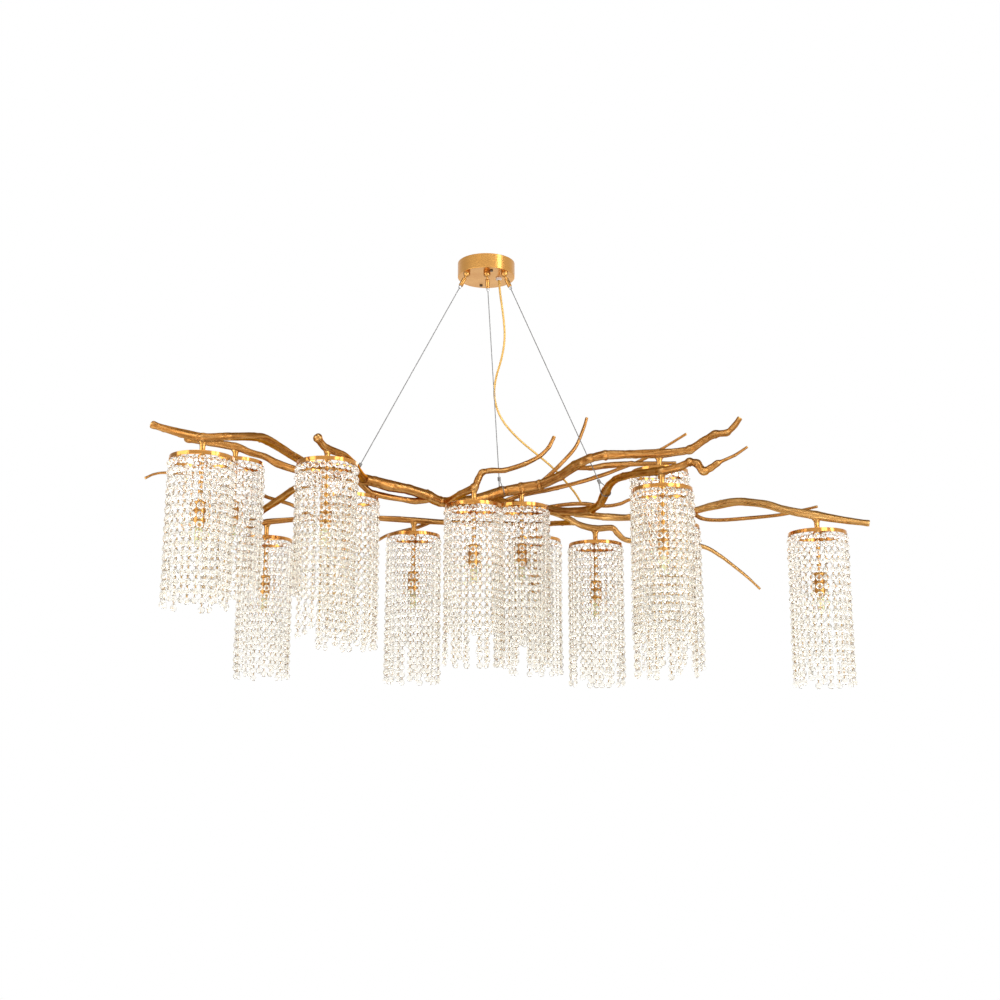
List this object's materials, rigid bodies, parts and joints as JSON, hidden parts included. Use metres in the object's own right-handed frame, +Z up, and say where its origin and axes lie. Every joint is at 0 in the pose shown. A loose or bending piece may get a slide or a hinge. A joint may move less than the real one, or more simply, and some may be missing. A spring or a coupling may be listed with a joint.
{
  "type": "glass chandelier",
  "caption": "Long hanging chandelier: a gold branch frame on steel wires from a round canopy, carrying ring shades hung with strands of cut glass beads.",
  "frame": {"origin": "centre of the canopy on the ceiling plane", "axes": "+Z up to the ceiling, +X along the chandelier's length to the viewer's right, -Y towards the viewer"},
  "size_m": [1.5272, 0.8394, 0.9572],
  "materials": {
    "gold_casting": "cast aluminium with a satin gold finish",
    "gold_metal": "brushed brass",
    "bead_glass": "clear cut glass",
    "steel": "drawn steel",
    "zinc_plate": "zinc plated",
    "dark_screw": "dark plated",
    "white_nylon": "moulded",
    "amber_cord": "clear sheath over copper",
    "bulb_glass": "frosted"
  },
  "bodies": {
    "ceiling": {"ceiling_plate": "zinc_plate", "canopy_shell": "gold_metal", "canopy_screws": "dark_screw", "terminal_block": "white_nylon", "cord_gland": "white_nylon", "swivel_cups": "gold_metal", "power_cord": "amber_cord"},
    "frame": {"trunk_left": "gold_casting", "trunk_right": "gold_casting", "trunk_low": "gold_casting", "left_upper": "gold_casting", "left_lower": "gold_casting", "left_second": "gold_casting", "left_fork": "gold_casting", "front_stub": "gold_casting", "back_bar": "gold_casting", "centre_twig": "gold_casting", "right_thin": "gold_casting", "right_zigzag": "gold_casting", "right_low": "gold_casting", "right_long": "gold_casting", "side_twigs": "gold_casting", "stems": "gold_metal", "hub_nuts": "gold_metal", "lamp_holders": "gold_metal", "bulbs": "bulb_glass", "gripper_bodies": "gold_metal", "suspension_wires": "steel", "wire_studs": "steel"},
    "release_left": {"collet_left": "steel"},
    "release_middle": {"collet_middle": "steel"},
    "release_right": {"collet_right": "steel"},
    "shade_01": {"ring_01": "gold_metal", "beads_01": "bead_glass"},
    "shade_02": {"ring_02": "gold_metal", "beads_02": "bead_glass"},
    "shade_03": {"ring_03": "gold_metal", "beads_03": "bead_glass"},
    "shade_04": {"ring_04": "gold_metal", "beads_04": "bead_glass"},
    "shade_05": {"ring_05": "gold_metal", "beads_05": "bead_glass"},
    "shade_06": {"ring_06": "gold_metal", "beads_06": "bead_glass"},
    "shade_07": {"ring_07": "gold_metal", "beads_07": "bead_glass"},
    "shade_08": {"ring_08": "gold_metal", "beads_08": "bead_glass"},
    "shade_09": {"ring_09": "gold_metal", "beads_09": "bead_glass"},
    "shade_10": {"ring_10": "gold_metal", "beads_10": "bead_glass"},
    "shade_11": {"ring_11": "gold_metal", "beads_11": "bead_glass"},
    "shade_12": {"ring_12": "gold_metal", "beads_12": "bead_glass"},
    "shade_13": {"ring_13": "gold_metal", "beads_13": "bead_glass"},
    "shade_14": {"ring_14": "gold_metal", "beads_14": "bead_glass"}
  },
  "joints": [
    {"name": "frame_swing", "type": "hinge", "parent": "ceiling", "child": "frame", "pos_m": [0, -0.035, -0.04], "axis": [1, 0, 0], "range_deg": [-6, 6], "deforming": ["power_cord"]},
    {"name": "release_left_push", "type": "slide", "parent": "frame", "child": "release_left", "axis": [0.4436, 0.0965, 0.891], "range_m": [0, 0.003], "stiffness_N_per_m": 400, "springref_m": -0.001},
    {"name": "release_middle_push", "type": "slide", "parent": "frame", "child": "release_middle", "axis": [-0.0596, -0.196, 0.9788], "range_m": [0, 0.003], "stiffness_N_per_m": 400, "springref_m": -0.001},
    {"name": "release_right_push", "type": "slide", "parent": "frame", "child": "release_right", "axis": [-0.3986, -0.022, 0.9169], "range_m": [0, 0.003], "stiffness_N_per_m": 400, "springref_m": -0.001},
    {"name": "shade_01_turn", "type": "hinge", "parent": "frame", "child": "shade_01", "pos_m": [-0.525, -0.42, -0.555], "axis": [0, 0, 1], "continuous": true},
    {"name": "shade_02_turn", "type": "hinge", "parent": "frame", "child": "shade_02", "pos_m": [-0.53, -0.085, -0.482], "axis": [0, 0, 1], "continuous": true},
    {"name": "shade_03_turn", "type": "hinge", "parent": "frame", "child": "shade_03", "pos_m": [-0.312, -0.262, -0.526], "axis": [0, 0, 1], "continuous": true},
    {"name": "shade_04_turn", "type": "hinge", "parent": "frame", "child": "shade_04", "pos_m": [-0.285, -0.086, -0.558], "axis": [0, 0, 1], "continuous": true},
    {"name": "shade_05_turn", "type": "hinge", "parent": "frame", "child": "shade_05", "pos_m": [-0.507, 0.195, -0.595], "axis": [0, 0, 1], "continuous": true},
    {"name": "shade_06_turn", "type": "hinge", "parent": "frame", "child": "shade_06", "pos_m": [-0.166, 0.17, -0.59], "axis": [0, 0, 1], "continuous": true},
    {"name": "shade_07_turn", "type": "hinge", "parent": "frame", "child": "shade_07", "pos_m": [-0.024, -0.085, -0.575], "axis": [0, 0, 1], "continuous": true},
    {"name": "shade_08_turn", "type": "hinge", "parent": "frame", "child": "shade_08", "pos_m": [0.079, 0.07, -0.545], "axis": [0, 0, 1], "continuous": true},
    {"name": "shade_09_turn", "type": "hinge", "parent": "frame", "child": "shade_09", "pos_m": [0.115, 0.295, -0.577], "axis": [0, 0, 1], "continuous": true},
    {"name": "shade_10_turn", "type": "hinge", "parent": "frame", "child": "shade_10", "pos_m": [0.247, 0.145, -0.615], "axis": [0, 0, 1], "continuous": true},
    {"name": "shade_11_turn", "type": "hinge", "parent": "frame", "child": "shade_11", "pos_m": [0.366, -0.105, -0.506], "axis": [0, 0, 1], "continuous": true},
    {"name": "shade_12_turn", "type": "hinge", "parent": "frame", "child": "shade_12", "pos_m": [0.352, -0.258, -0.579], "axis": [0, 0, 1], "continuous": true},
    {"name": "shade_13_turn", "type": "hinge", "parent": "frame", "child": "shade_13", "pos_m": [0.414, 0.085, -0.586], "axis": [0, 0, 1], "continuous": true},
    {"name": "shade_14_turn", "type": "hinge", "parent": "frame", "child": "shade_14", "pos_m": [0.692, -0.1, -0.636], "axis": [0, 0, 1], "continuous": true}
  ]
}
